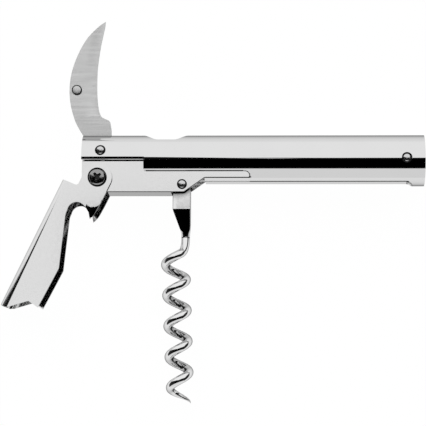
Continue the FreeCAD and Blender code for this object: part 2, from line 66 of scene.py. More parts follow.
MM = 0.001
JOINTS = {joint["name"]: Vector(joint["pos_m"]) / MM for joint in frame["joints"]}
LEVER = JOINTS["lever_hinge"]
BLADE = JOINTS["blade_hinge"]
WORM = JOINTS["worm_hinge"]


def node_box(node):
    """Lowest and highest corner of a CAD node, in millimetres."""
    low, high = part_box(node)
    return low / MM, high / MM


TUBE_LOW, TUBE_HIGH = node_box("handle_tube")
TUBE_RADIUS = (TUBE_HIGH.y - TUBE_LOW.y) / 2
TUBE_Y = (TUBE_HIGH.y + TUBE_LOW.y) / 2
TUBE_TOP = TUBE_Y + TUBE_RADIUS
MID_Z = (TUBE_HIGH.z + TUBE_LOW.z) / 2
PLUG_PIN = Vector((63.6, TUBE_Y, MID_Z))


# ---------------------------------------------------------------- outline helpers
def circle_through(first, second, third):
    """Centre and radius of the circle through three points."""
    ax, ay = first
    bx, by = second
    cx, cy = third
    d = 2 * (ax * (by - cy) + bx * (cy - ay) + cx * (ay - by))
    a2, b2, c2 = ax * ax + ay * ay, bx * bx + by * by, cx * cx + cy * cy
    ux = (a2 * (by - cy) + b2 * (cy - ay) + c2 * (ay - by)) / d
    uy = (a2 * (cx - bx) + b2 * (ax - cx) + c2 * (bx - ax)) / d
    return ux, uy, math.hypot(ax - ux, ay - uy)


def arc(start, via, end, step=0.12):
    """Points along the arc from start through via to end, without its start."""
    ux, uy, radius = circle_through(start, via, end)
    first, middle, last = (math.atan2(y - uy, x - ux) for x, y in (start, via, end))
    turn = (last - first) % (2 * math.pi)
    if (middle - first) % (2 * math.pi) > turn:
        turn -= 2 * math.pi
    count = max(2, int(abs(turn) * radius / step))
    return [(ux + radius * math.cos(first + turn * i / count),
             uy + radius * math.sin(first + turn * i / count)) for i in range(1, count + 1)]


def path(points):
    """An outline from corner points; a point given as (x, y, via) is reached by an arc."""
    made = []
    for index, point in enumerate(points):
        if len(point) == 3:
            made += arc(points[index - 1][:2], point[2], point[:2])
        else:
            made.append(point)
    return made


def spline(points, steps=10):
    """A smooth Catmull-Rom line through the points, ends included."""
    made = []
    padded = [points[0]] + list(points) + [points[-1]]
    for i in range(len(points) - 1):
        p0, p1, p2, p3 = (Vector(p) for p in padded[i:i + 4])
        for k in range(steps):
            t = k / steps
            made.append(tuple(0.5 * (2 * p1 + (p2 - p0) * t + (2 * p0 - 5 * p1 + 4 * p2 - p3) * t * t
                                     + (3 * p1 - p0 - 3 * p2 + p3) * t ** 3)))
    made.append(tuple(points[-1]))
    return made


def disc(x, y, radius, count=64):
    """A round hole or rim as an outline."""
    return [(x + radius * math.cos(2 * math.pi * i / count),
             y + radius * math.sin(2 * math.pi * i / count)) for i in range(count)]


def smoothstep(t):
    """0 up to t = 0, 1 from t = 1, smooth between."""
    t = min(1.0, max(0.0, t))
    return t * t * (3 - 2 * t)


# ---------------------------------------------------------------- mesh helpers
WELD_DISTANCE = 2e-7                                     # metres
SHARP_ANGLE = math.radians(35)
BEVEL_ANGLE = math.radians(40)


def filled(loops):
    """A flat bmesh that fills the outlines, holes left open."""
    curve = bpy.data.curves.new("pattern", "CURVE")
    curve.dimensions = "2D"
    curve.fill_mode = "BOTH"
    for loop in loops:
        line = curve.splines.new("POLY")
        line.points.add(len(loop) - 1)
        for point, (x, y) in zip(line.points, loop):
            point.co = (x, y, 0, 1)
        line.use_cyclic_u = True
    holder = bpy.data.objects.new("pattern", curve)
    bpy.context.scene.collection.objects.link(holder)
    bpy.context.view_layer.update()
    mesh = bpy.data.meshes.new_from_object(holder)
    bpy.data.objects.remove(holder)
    flat = bmesh.new()
    flat.from_mesh(mesh)
    bmesh.ops.remove_doubles(flat, verts=flat.verts, dist=1e-5)
    return flat


def cut_lines(flat, values, axis):
    """Cut the flat pattern along lines of constant x (axis 0) or y (axis 1)."""
    normal = Vector((1, 0, 0)) if axis == 0 else Vector((0, 1, 0))
    for value in values:
        geometry = flat.verts[:] + flat.edges[:] + flat.faces[:]
        bmesh.ops.bisect_plane(flat, geom=geometry, plane_co=normal * value, plane_no=normal, dist=1e-5)


def shell(name, flat, outer, inner):
    """A sheet part: the flat pattern mapped to its outer and inner surfaces, with walls between them."""
    solid = bmesh.new()
    tops = {v: solid.verts.new(outer(v.co.x, v.co.y)) for v in flat.verts}
    lows = {v: solid.verts.new(inner(v.co.x, v.co.y)) for v in flat.verts}
    for face in flat.faces:
        solid.faces.new([tops[v] for v in face.verts])
        solid.faces.new([lows[v] for v in reversed(face.verts)])
    for edge in flat.edges:
        if len(edge.link_faces) == 1:
            a, b = edge.verts
            solid.faces.new([tops[a], tops[b], lows[b], lows[a]])
    flat.free()
    return finish_mesh(name, solid)


def finish_mesh(name, solid):
    """Weld, turn the faces one way, smooth all but the sharp edges and make an object."""
    bmesh.ops.remove_doubles(solid, verts=solid.verts, dist=WELD_DISTANCE)
    bmesh.ops.recalc_face_normals(solid, faces=solid.faces)
    mesh = bpy.data.meshes.new(name)
    solid.to_mesh(mesh)
    solid.free()
    for polygon in mesh.polygons:
        polygon.use_smooth = True
    mesh.set_sharp_from_angle(angle=SHARP_ANGLE)
    made = bpy.data.objects.new(name, mesh)
    bpy.context.scene.collection.objects.link(made)
    return made


def round_edges(piece, width, segments=3):
    """Small rounded edges, as tumbling and polishing leave them."""
    modifier = piece.modifiers.new("edges", "BEVEL")
    modifier.width = width * MM
    modifier.segments = segments
    modifier.limit_method = "ANGLE"
    modifier.angle_limit = BEVEL_ANGLE
    modifier.harden_normals = True
    modifier.use_clamp_overlap = True
    modifier.miter_outer = "MITER_ARC"


def lathe(name, profile, centre, count=96):
    """A turned piece about a line along Z: profile points are (radius, height) in millimetres."""
    solid = bmesh.new()
    rings = []
    for radius, height in profile:
        if radius < 1e-6:
            rings.append([solid.verts.new((0, 0, height))])
        else:
            rings.append([solid.verts.new((radius * math.cos(2 * math.pi * i / count),
                                           radius * math.sin(2 * math.pi * i / count), height))
                          for i in range(count)])
    for low, high in zip(rings, rings[1:]):
        for i in range(count):
            j = (i + 1) % count
            corners = [low[i % len(low)], low[j % len(low)], high[j % len(high)], high[i % len(high)]]
            corners = list(dict.fromkeys(corners))
            if len(corners) > 2:
                solid.faces.new(corners)
    for vertex in solid.verts:
        vertex.co = (vertex.co + centre) * MM
    return finish_mesh(name, solid)


def sweep(name, stations):
    """A tube through stations, each a list of points in millimetres; both ends are closed."""
    solid = bmesh.new()
    rings = [[solid.verts.new(Vector(p) * MM) for p in ring] for ring in stations]
    for low, high in zip(rings, rings[1:]):
        for i in range(len(low)):
            j = (i + 1) % len(low)
            solid.faces.new([low[i], low[j], high[j], high[i]])
    solid.faces.new(rings[0])
    solid.faces.new(rings[-1])
    return finish_mesh(name, solid)


def apply_all(piece):
    """Bake a piece's modifiers into its mesh."""
    graph = bpy.context.evaluated_depsgraph_get()
    piece.data = bpy.data.meshes.new_from_object(piece.evaluated_get(graph))
    piece.modifiers.clear()


def cut_out(piece, cutter):
    """Subtract the cutter from the piece."""
    modifier = piece.modifiers.new("cut", "BOOLEAN")
    modifier.operation = "DIFFERENCE"
    modifier.solver = "EXACT"
    modifier.object = cutter
    apply_all(piece)
    bpy.data.objects.remove(cutter)
    piece.data.set_sharp_from_angle(angle=SHARP_ANGLE)


# ---------------------------------------------------------------- materials
MOTTLE = 0.02                                            # share by which a metal's tone varies
AO_SHADE_OPEN, AO_SHADE_SHUT = 0.84, 0.55                   # openness at which a crevice gets no painted shade and full painted shade
# tone of the base colour under full painted shade
AO_SHADE_TONE = 0.12


def metal(name, colour, roughness, grain=0.0, grain_size=(1, 1, 1), rim=0.5, ao_shade_reach=0.0):
    """Polished or ground steel: slight tone variation, uneven gloss and, if asked for, fine grain.

    rim is the tone at grazing angles; the last argument is the reach in millimetres within which other
    surfaces darken this one's base colour as painted shade.
    """
    material = bpy.data.materials.new(name)
    material.use_nodes = True
    tree = material.node_tree
    shader = tree.nodes["Principled BSDF"]
    shader.inputs["Metallic"].default_value = 1.0
    shader.inputs["Specular Tint"].default_value = (rim, rim, rim, 1)
    place = tree.nodes.new("ShaderNodeTexCoord")
    stretch = tree.nodes.new("ShaderNodeMapping")
    stretch.inputs["Scale"].default_value = grain_size
    tree.links.new(place.outputs["Object"], stretch.inputs["Vector"])
    clouds = tree.nodes.new("ShaderNodeTexNoise")
    clouds.inputs["Scale"].default_value = 90.0
    clouds.inputs["Detail"].default_value = 4.0
    tree.links.new(place.outputs["Object"], clouds.inputs["Vector"])
    tone = tree.nodes.new("ShaderNodeMapRange")
    tone.inputs["To Min"].default_value = 1.0 - MOTTLE
    tone.inputs["To Max"].default_value = 1.0 + MOTTLE
    tree.links.new(clouds.outputs["Fac"], tone.inputs["Value"])
    tint = tree.nodes.new("ShaderNodeVectorMath")
    tint.operation = "SCALE"
    tint.inputs[0].default_value = colour
    tree.links.new(tone.outputs["Result"], tint.inputs["Scale"])
    tree.links.new(tint.outputs["Vector"], shader.inputs["Base Color"])
    # painted shade: ambient occlusion darkens the base colour where other surfaces are near
    if ao_shade_reach:
        occlusion = tree.nodes.new("ShaderNodeAmbientOcclusion")
        occlusion.inputs["Distance"].default_value = ao_shade_reach * MM
        occlusion.samples = 8
        shade = tree.nodes.new("ShaderNodeMapRange")
        shade.inputs["From Min"].default_value = AO_SHADE_SHUT
        shade.inputs["From Max"].default_value = AO_SHADE_OPEN
        shade.inputs["To Min"].default_value = AO_SHADE_TONE
        tree.links.new(occlusion.outputs["AO"], shade.inputs["Value"])
        ao_shaded_tint = tree.nodes.new("ShaderNodeVectorMath")
        ao_shaded_tint.operation = "SCALE"
        tree.links.new(tint.outputs["Vector"], ao_shaded_tint.inputs[0])
        tree.links.new(shade.outputs["Result"], ao_shaded_tint.inputs["Scale"])
        tree.links.new(ao_shaded_tint.outputs["Vector"], shader.inputs["Base Color"])
    streaks = tree.nodes.new("ShaderNodeTexNoise")
    streaks.inputs["Scale"].default_value = 900.0
    streaks.inputs["Detail"].default_value = 6.0
    streaks.inputs["Roughness"].default_value = 0.7
    tree.links.new(stretch.outputs["Vector"], streaks.inputs["Vector"])
    gloss = tree.nodes.new("ShaderNodeMapRange")
    gloss.inputs["From Min"].default_value = 0.3
    gloss.inputs["From Max"].default_value = 0.7
    gloss.inputs["To Min"].default_value = roughness * 0.75
    gloss.inputs["To Max"].default_value = roughness * 1.35
    tree.links.new(streaks.outputs["Fac"], gloss.inputs["Value"])
    tree.links.new(gloss.outputs["Result"], shader.inputs["Roughness"])
    if grain:
        bump = tree.nodes.new("ShaderNodeBump")
        bump.inputs["Strength"].default_value = 1.0
        bump.inputs["Distance"].default_value = grain * MM
        tree.links.new(streaks.outputs["Fac"], bump.inputs["Height"])
        tree.links.new(bump.outputs["Normal"], shader.inputs["Normal"])
    return material


CHROME = metal("polished_chrome", (0.79, 0.79, 0.79), 0.035, rim=0.25)
PLATE = metal("polished_plate", (0.76, 0.76, 0.76), 0.05)
LEVER_STEEL = metal("polished_lever", (0.77, 0.77, 0.77), 0.05)
# the worm's base colour is darkened between its coils as painted shade
WIRE = metal("polished_wire", (0.85, 0.85, 0.85), 0.06, rim=0.15, ao_shade_reach=9.0)
SATIN = metal("satin_blade", (0.665, 0.665, 0.665), 0.2, grain=0.001, grain_size=(0.06, 1.0, 1.0))
RIVET = metal("rivet_steel", (0.7, 0.7, 0.7), 0.2)
SCREW = metal("screw_steel", (0.34, 0.34, 0.34), 0.12)
TURNED = metal("turned_steel", (0.5, 0.5, 0.5), 0.3, grain=0.003, grain_size=(1.0, 1.0, 0.1))
SPRING = metal("spring_steel", (0.3, 0.3, 0.32), 0.3)
BRASS = metal("rolled_brass", (0.72, 0.52, 0.25), 0.3)
# painted shade and shadow: near-black rings round heads, strips along the plates and the screw's recess
SHADE_PAINT = metal("shade_paint", (0.05, 0.05, 0.05), 0.35)


def dress(piece, material, body, slot, *nodes):
    """Give a piece its material and its body, and hide the CAD nodes that it stands for; slot is not used.
    """
    piece.data.materials.clear()
    piece.data.materials.append(material)
    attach(piece, body)
    if nodes:
        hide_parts(*nodes)


# ---------------------------------------------------------------- handle tube
TUBE_WALL = 0.9
OPENING_X = -23.2                                        # where the opening's edge steps down
ROOF_Y, LEDGE_Y, WINDOW_Y = 16.7, 13.3, 10.9             # edges above the frame and round its tongue
WINDOW_X, WINDOW_BEND = 10.0, 2.4
WORM_SLOT_START, WORM_SLOT_END = -3.0, 65.9
WORM_SLOT_HALF, WORM_SLOT_BEND = 4.4, 2.0
BLADE_SLOT_END, BLADE_SLOT_HALF = 5.7, 1.1
BLADE_SLOT_ANGLE = math.degrees(math.asin(BLADE_SLOT_HALF / TUBE_RADIUS))
DIP = (-24.3, -18.6, -13.2, -7.9)                        # where the thumb dip falls and rises again
DIP_DEPTH = 2.0
RIVET_SEAT = 1.78
LIP_WIDTH, LIP_FADE = 0.95, 0.3                          # the rounded edge above the frame
LIP_SLOPE, LIP_CURL_START, LIP_CURL = 0.2, 0.72, 2.4


def crest_angle(y):
    """Degrees from the tube's crest at which its surface is at height y."""
    return math.degrees(math.acos(max(-1.0, min(1.0, (y - TUBE_Y) / TUBE_RADIUS))))


def tube_point(radius):
    """Maps the flat pattern (x, degrees from the crest towards +Z) onto the tube."""
    def mapped(x, angle):
        turn = math.radians(angle)
        return Vector((x, TUBE_Y + radius * math.cos(turn), MID_Z + radius * math.sin(turn))) * MM
    return mapped


def lower_edge():
    """The pattern's edge on the front: the open end, the frame's opening and the worm's slot."""
    roof, ledge, window = (crest_angle(y) for y in (ROOF_Y, LEDGE_Y, WINDOW_Y))
    edge = [(TUBE_LOW.x, BLADE_SLOT_ANGLE), (TUBE_LOW.x, roof), (OPENING_X, roof), (OPENING_X, ledge),
            (WINDOW_X, ledge)]
    for i in range(1, 13):
        turn = math.pi / 2 * i / 12
        edge.append((WINDOW_X + WINDOW_BEND * math.sin(turn),
                     ledge + (window - ledge) * (1 - math.cos(turn))))
    edge.append((WORM_SLOT_START, window))
    edge.append((WORM_SLOT_START, 180 - math.degrees(math.asin(WORM_SLOT_HALF / TUBE_RADIUS))))
    for i in range(25):
        turn = math.pi / 2 * i / 24
        edge.append((WORM_SLOT_END - WORM_SLOT_BEND * (1 - math.sin(turn)),
                     180 - math.degrees(math.asin(WORM_SLOT_HALF * math.cos(turn) / TUBE_RADIUS))))
    return edge + [(TUBE_HIGH.x, 180.0)]


def upper_edge(steps=60):
    """The pattern's edge along the crest: the thumb dip and the blade's slot with its round end."""
    dip = []
    for i in range(steps + 1):
        x = DIP[0] + (DIP[3] - DIP[0]) * i / steps
        fall = smoothstep((x - DIP[0]) / (DIP[1] - DIP[0])) * smoothstep((DIP[3] - x) / (DIP[3] - DIP[2]))
        dip.append((x, max(BLADE_SLOT_ANGLE, crest_angle(TUBE_TOP - DIP_DEPTH * fall))))
    slot_end = [(BLADE_SLOT_END + BLADE_SLOT_HALF * math.sin(math.pi * i / 12),
                 -BLADE_SLOT_ANGLE * math.cos(math.pi * i / 12)) for i in range(13)]
    return [(x, -angle) for x, angle in dip] + slot_end + dip[::-1]


def tube():
    """The handle's skin, mirrored from front to rear."""
    front = lower_edge()
    rear = [(x, -angle) for x, angle in reversed(front)]
    holes = []
    for pin in (BLADE, PLUG_PIN):
        seat = [(x, crest_angle(y)) for x, y in disc(pin.x, pin.y, RIVET_SEAT)]
        holes += [seat, [(x, -angle) for x, angle in seat]]
    flat = filled([front + rear + upper_edge()] + holes)
    cut_lines(flat, [1.5 * k for k in range(-119, 120)], axis=1)
    roof = crest_angle(ROOF_Y)
    lip_angle = math.degrees(LIP_WIDTH / TUBE_RADIUS)
    lip_lines = [roof - lip_angle * k / 12 for k in range(1, 13)]
    cut_lines(flat, lip_lines + [-angle for angle in lip_lines], axis=1)
    cut_lines(flat, [OPENING_X, OPENING_X + LIP_FADE], axis=0)

    def outside(x, angle):
        """The tube's outer surface, rounded off along the edge above the frame."""
        into = 1 - (roof - abs(angle)) / lip_angle
        drop = 0.0
        if x < OPENING_X + LIP_FADE and 0 < into <= 1.001:
            past = LIP_WIDTH * into
            drop = LIP_SLOPE * past + LIP_CURL * max(0.0, past - LIP_CURL_START) ** 2
            drop *= 1 - smoothstep((x - OPENING_X) / LIP_FADE)
        return tube_point(TUBE_RADIUS - drop)(x, angle)

    piece = shell("tube_skin", flat, outside, tube_point(TUBE_RADIUS - TUBE_WALL))
    round_edges(piece, 0.08)
    dress(piece, CHROME, "handle", "tube_chrome", "handle_tube")


# ---------------------------------------------------------------- frame plates
BLADE_PIN_HOLE, WORM_PIN_HOLE, POST_HOLE = 1.25, 1.3, 2.25
TONGUE_LOW, TONGUE_HIGH = 11.0, 13.2
PLATE_STEP_X = -22.6                                     # where the plate's top steps down to its tongue
# painted shadow: near-black strips under the tube's edge and along each plate's lower edge
EDGE_SHADOW_START, EDGE_SHADOW_WIDTH = -36.0, 0.2
SHADOW_STRIP_LOW, SHADOW_STRIP_HIGH = 13.08, 13.45
SHADOW_STRIP_DEPTH, SHADOW_STRIP_FACE, EDGE_SHADOW_FACE = 5.7, 6.05, 6.012  # distances from the tool's middle plane


def frame_line(low, high):
    """Lower edge of a side plate, round to the end of its tongue."""
    return path([
        (low.x, low.y), (EDGE_SHADOW_START, low.y), (-10.4, low.y), (-9.5, low.y + 0.25, (-9.9, low.y + 0.06)),
        (-3.3, 10.8), (-2.6, TONGUE_LOW, (-3.0, 10.95)),
        (high.x - 0.5, TONGUE_LOW), (high.x - 2.3, TONGUE_HIGH, (high.x - 0.35, 12.2)),
    ])


def side_plates():
    """The two stamped plates of the frame, with their tongues and their holes for the pivots."""
    for name, node, side in (("front_plate", "front_side_plate", 1), ("rear_plate", "rear_side_plate", -1)):
        low, high = node_box(node)
        outline = frame_line(low, high)
        outline += [(PLATE_STEP_X, TONGUE_HIGH), (PLATE_STEP_X, high.y), (low.x, high.y)]
        holes = [disc(hinge.x, hinge.y, radius) for hinge, radius in
                 ((BLADE, BLADE_PIN_HOLE), (WORM, WORM_PIN_HOLE), (LEVER, POST_HOLE))]
        outside, inside = (high.z, low.z) if side > 0 else (low.z, high.z)
        piece = shell(name, filled([outline] + holes),
                      lambda x, y, z=outside: Vector((x, y, z)) * MM,
                      lambda x, y, z=inside: Vector((x, y, z)) * MM)
        round_edges(piece, 0.3, 4)
        dress(piece, PLATE, "handle", "plate_chrome", node)


def ribbon(name, line, width, low, high, side):
    """A thin strip beside a line in the frame's plane, from low to high off the middle plane."""
    rings = []
    for i, (x, y) in enumerate(line):
        before, after = line[max(i - 1, 0)], line[min(i + 1, len(line) - 1)]
        run = math.hypot(after[0] - before[0], after[1] - before[1])
        across = (-(after[1] - before[1]) / run * width, (after[0] - before[0]) / run * width)
        rings.append([Vector((x + dx, y + dy, MID_Z + side * z))
                      for dx, dy, z in ((0, 0, low), (0, 0, high), (*across, high), (*across, low))])
    return sweep(name, rings)


def painted_shadow_strips():
    """Painted shadow strips along each plate: under the tube's edge above it, and round its own lower edge.
    """
    for label, side in (("front", 1), ("rear", -1)):
        low, high = node_box(label + "_side_plate")
        above = [(PLATE_STEP_X + 0.1, SHADOW_STRIP_LOW), (WINDOW_X - 0.2, SHADOW_STRIP_LOW)]
        upper = ribbon("shadow_strip_" + label, above, SHADOW_STRIP_HIGH - SHADOW_STRIP_LOW, SHADOW_STRIP_DEPTH, SHADOW_STRIP_FACE, side)
        dress(upper, SHADE_PAINT, "handle", "plate_chrome")
        below = frame_line(low, high)[1:]
        edge = ribbon("edge_shadow_" + label, below, EDGE_SHADOW_WIDTH, SHADOW_STRIP_DEPTH, EDGE_SHADOW_FACE, side)
        dress(edge, SHADE_PAINT, "handle", "plate_chrome")


# ---------------------------------------------------------------- blade
BLADE_HALF = 0.65
STUD_HOLE = (-8.75, 21.4, 1.2)                           # place from the hinge, and radius
GRIND_START, GRIND_WIDTH, GRIND_DEPTH = 12.5, 4.5, 0.34  # from its heel up, along the cutting edge


def blade():
    """The curved foil blade, ground thin along its inner edge; drawn from its hinge."""
    back = spline([(-6.35, 5.7), (-7.85, 8.1), (-9.45, 11.45), (-10.85, 16.6), (-11.25, 22.0), (-10.5, 27.8),
                   (-8.35, 33.9), (-5.4, 39.1), (-1.45, 43.25), (0.7, 44.8)])
    edge = spline([(0.7, 44.8), (0.45, 42.7), (-0.9, 36.1), (-1.8, 29.2), (-2.0, 23.5), (-1.85, 18.7),
                   (-1.35, 14.7), (-0.5, 12.35)])
    tang = path([(-0.1, 12.05), (2.1, 11.0), (2.55, 10.2, (2.45, 10.6)), (2.95, 7.9), (3.0, 6.1),
                 (2.6, -2.5), (-2.6, -2.5, (0.0, -3.6))])
    flat = filled([back + edge[1:] + tang, disc(0, 0, BLADE_PIN_HOLE), disc(*STUD_HOLE)])
    cut_lines(flat, [GRIND_START + 0.8 * k for k in range(41)], axis=1)
    cut_lines(flat, [-9.0 + 0.6 * k for k in range(18)], axis=0)

    def thin(x, y):
        """How much one face falls away near the cutting edge."""
        if y < GRIND_START:
            return 0.0
        near = min(math.hypot(x - px, y - py) for px, py in edge)
        return GRIND_DEPTH * (1 - smoothstep(near / GRIND_WIDTH))

    def face(sign):
        return lambda x, y: Vector((BLADE.x + x, BLADE.y + y, MID_Z + sign * (BLADE_HALF - thin(x, y)))) * MM

    piece = shell("blade_steel", flat, face(1), face(-1))
    round_edges(piece, 0.06, 2)
    dress(piece, SATIN, "foil_blade", "blade_steel", "blade")


# ---------------------------------------------------------------- rivets, stud and screw
def dome(radius, base, rise):
    """Profile of a softly domed head from its rim to its crown."""
    points = [(radius, base)]
    for i in range(15):
        share = 1 - i / 14
        points.append((radius * share * 0.985, base + rise * (0.42 + 0.58 * (1 - share ** 2.4))))
    return points


RIVET_SHANK, RIVET_HEAD, RIVET_RISE = 1.2, 1.65, 0.65
RIVET_CROWN = 0.74                                       # share of the head inside its ring of painted shade
STUD_RIM, SCREW_RIM = 0.38, 0.36                         # width of their rings of painted shade


def painted_shade_rings(name, collar, centre, body, slot):
    """A ring of painted shade on the front and one on the rear, from one collar profile."""
    for side, label in ((1, "front"), (-1, "rear")):
        ring = lathe("%s_%s" % (name, label), [(r, side * h) for r, h in collar], centre)
        dress(ring, SHADE_PAINT, body, slot)


def rivet(name, node, centre):
    """A round pin with a domed head at each end, each head in a ring of painted shade."""
    low, high = node_box(node)
    reach = (high.z - low.z) / 2 - RIVET_RISE
    crown = RIVET_HEAD * RIVET_CROWN
    up = dome(crown, reach + RIVET_RISE * 0.2, RIVET_RISE * 0.8)
    profile = [(r, -h) for r, h in reversed(up)] + [(RIVET_SHANK, -reach), (RIVET_SHANK, reach)] + up
    middle = Vector((centre.x, centre.y, MID_Z))
    piece = lathe(name, profile, middle)
    dress(piece, RIVET, "handle", "pin_steel", node)
    collar = [(RIVET_SHANK, reach), (RIVET_HEAD, reach), (RIVET_HEAD, reach + RIVET_RISE * 0.35),
              (RIVET_HEAD - 0.12, reach + RIVET_RISE * 0.55), (crown + 0.08, reach + RIVET_RISE * 0.3),
              (crown + 0.02, reach + RIVET_RISE * 0.1), (RIVET_SHANK, reach + 0.02)]
    painted_shade_rings(name + "_ring", collar, middle, "handle", "pin_steel")


def stud():
    """The blade's thumb stud: a flat round head on each face, in a ring of painted shade."""
    low, high = node_box("blade_stud")
    middle = (low + high) / 2
    middle.z = MID_Z
    top = (high.z - low.z) / 2
    rim = (high.x - low.x) / 2
    crown = rim - STUD_RIM
    head = [(0, top), (crown * 0.6, top - 0.01), (crown, top - 0.05), (crown, BLADE_HALF), (1.2, BLADE_HALF)]
    piece = lathe("thumb_stud", head + [(r, -h) for r, h in reversed(head)], middle)
    dress(piece, SATIN, "foil_blade", "pin_steel", "blade_stud")
    collar = [(crown + 0.02, BLADE_HALF), (rim, BLADE_HALF), (rim, top - 0.3), (rim - 0.15, top - 0.1),
              (crown + 0.02, top - 0.12)]
    painted_shade_rings("stud_ring", collar, middle, "foil_blade", "pin_steel")


SCREW_HEAD, SCREW_SHANK, SCREW_LENGTH = 1.3, 1.5, 4.0
RECESS_ARM, RECESS_WEB, RECESS_DEPTH = 1.7, 0.4, 1.1
RECESS_TURN = math.radians(38)


def recess_cutter(centre, top):
    """The cross recess as a solid that narrows downwards."""
    arm, web, inner = RECESS_ARM, RECESS_WEB, RECESS_WEB * 1.5
    quarter = [(arm, -web), (arm, web), (inner, inner)]
    outline = []
    for turn in (RECESS_TURN + math.pi / 2 * k for k in range(4)):
        outline += [(x * math.cos(turn) - y * math.sin(turn), x * math.sin(turn) + y * math.cos(turn))
                    for x, y in quarter]
    stations = [[centre + Vector((share * x, share * y, height)) for x, y in outline]
                for height, share in ((top - RECESS_DEPTH, 0.6), (top + 0.3, 1.06))]
    return sweep("cross_cutter", stations)


def screw():
    """The lever's crowned screw, with a cross recess painted dark inside as shade."""
    low, high = node_box("lever_screw")
    centre = Vector((LEVER.x, LEVER.y, MID_Z))
    top = high.z - MID_Z
    rim = (high.x - low.x) / 2
    seat = top - SCREW_HEAD
    crown = rim - SCREW_RIM
    shoulder = seat + 0.35
    foot = seat - SCREW_LENGTH
    profile = [(0, foot), (SCREW_SHANK, foot), (SCREW_SHANK, seat), (crown, seat)]
    for i in range(11):
        turn = math.pi / 2 * i / 10
        profile.append((crown - 1.1 * (1 - math.cos(turn)),
                        shoulder + (top - 0.1 - shoulder) * math.sin(turn)))
    profile += [(rim * 0.35, top - 0.03), (0, top)]
    piece = lathe("screw_head", profile, centre)
    cut_out(piece, recess_cutter(centre, top))
    dress(piece, SCREW, "handle", "screw_steel", "lever_screw")
    # painted shade on the recess's walls and bottom
    piece.data.materials.append(SHADE_PAINT)
    for face in piece.data.polygons:
        spot = face.center / MM - centre
        away = math.hypot(spot.x, spot.y)
        wall = away < RECESS_ARM and -RECESS_DEPTH - 0.1 < spot.z - top < -0.16 and face.normal.z < 0.9
        bottom = away < 1.0 and abs(spot.z - top + RECESS_DEPTH) < 0.1
        face.material_index = int(wall or bottom)
    # a ring of painted shade round the head
    collar = [(crown + 0.04, seat + 0.02), (rim, seat + 0.02), (rim, seat + 0.42), (rim - 0.12, seat + 0.62),
              (crown + 0.1, seat + 0.5), (crown + 0.04, seat + 0.3)]
    ring = lathe("screw_ring", collar, centre)
    dress(ring, SHADE_PAINT, "handle", "screw_steel")


# ---------------------------------------------------------------- lever
LEVER_TURN = math.radians(-116.0)
LEVER_HALF = 7.1
LEVER_SHEET = 0.95
EYE_HOLE = 2.3
LEVER_BACK = -10.05                                      # the channel's back, from the eye's centre
FOLD_TIGHT, FOLD_WIDER = 1.4, 1.0                        # outside radius at the eye, and its growth
FOLD_START, FOLD_LENGTH = 5.6, 46.0
TOOTH_FOLD = (6.84, 4.83), (9.63, 3.63), (9.87, 1.11)    # the curved fold line of the cap-lifter tooth
TOOTH_LEFT, TOOTH_RIGHT, TOOTH_LOW, TOOTH_SLOPE = 6.5, 15.0, 0.9, 0.3
FOLD_X, FOLD_Y, FOLD_RADIUS = circle_through(*TOOTH_FOLD)


def bend_radius(x):
    """Outside radius of the fold between the lever's back and its sides, tighter at the eye."""
    return FOLD_TIGHT + FOLD_WIDER * smoothstep((x - FOLD_START) / FOLD_LENGTH)


def lever_map(inward, coin):
    """Maps the pattern (x, s) to the folded channel.

    s runs 0..1 over half the flat back, 1..2 round the fold and on from 2 in millimetres up the
    side; negative s is the rear half.
    """
    def mapped(x, s):
        side = 1 if s >= 0 else -1
        s = abs(s)
        radius = bend_radius(x)
        centre_z = LEVER_HALF - radius
        centre_y = LEVER_BACK + radius
        reach = radius - inward
        if s <= 1:
            y, z = LEVER_BACK + inward, centre_z * s
        elif s <= 2:
            turn = (s - 1) * math.pi / 2
            y, z = centre_y - reach * math.cos(turn), centre_z + reach * math.sin(turn)
        else:
            y, z = centre_y + s - 2, LEVER_HALF - inward
            z -= coin(x, y)
        px = x * math.cos(LEVER_TURN) - y * math.sin(LEVER_TURN)
        py = x * math.sin(LEVER_TURN) + y * math.cos(LEVER_TURN)
        return Vector((LEVER.x + px, LEVER.y + py, MID_Z + side * z)) * MM
    return mapped


def side_s(x, y):
    """Pattern coordinate of a point of the side's outline that is y above the eye's centre line."""
    radius = bend_radius(x)
    height = y - (LEVER_BACK + radius)
    if height >= 0:
        return 2 + height
    share = max(-1.0, min(1.0, -height / radius))
    return 1 + math.acos(share) * 2 / math.pi


def tooth_coin(x, y):
    """The cap-lifter tooth is bent inward beyond a curved fold line."""
    if not TOOTH_LEFT <= x <= TOOTH_RIGHT or y < TOOTH_LOW:
        return 0.0
    return TOOTH_SLOPE * max(0.0, math.hypot(x - FOLD_X, y - FOLD_Y) - FOLD_RADIUS)


def lever_side():
    """Outline of one side of the channel about the eye's centre: foot, cap lifter, eye and back."""
    return path([
        (51.9, LEVER_BACK + 0.02), (51.75, -8.4), (51.2, -7.2), (47.1, -2.7), (46.6, -1.9, (46.75, -2.35)),
        (47.1, 1.35), (46.8, 1.65, (47.05, 1.6)),
        (33.0, 2.05), (32.0, 1.85, (32.5, 2.02)), (16.5, -3.7), (14.1, -4.12, (15.3, -4.05)),
        (10.05, -1.8, (11.3, -3.65)), (10.85, 1.3, (10.2, -0.1)),
        (11.7, 2.6), (13.5, 3.86), (10.3, 4.7, (11.9, 4.45)), (6.6, 4.84),
        (0.4, 4.83), (1.3, -4.67, (-4.85, 0.0)), (4.2, -4.66), (5.35, -5.7, (5.05, -4.9)),
        (FOLD_START, LEVER_BACK + 0.02),
    ])


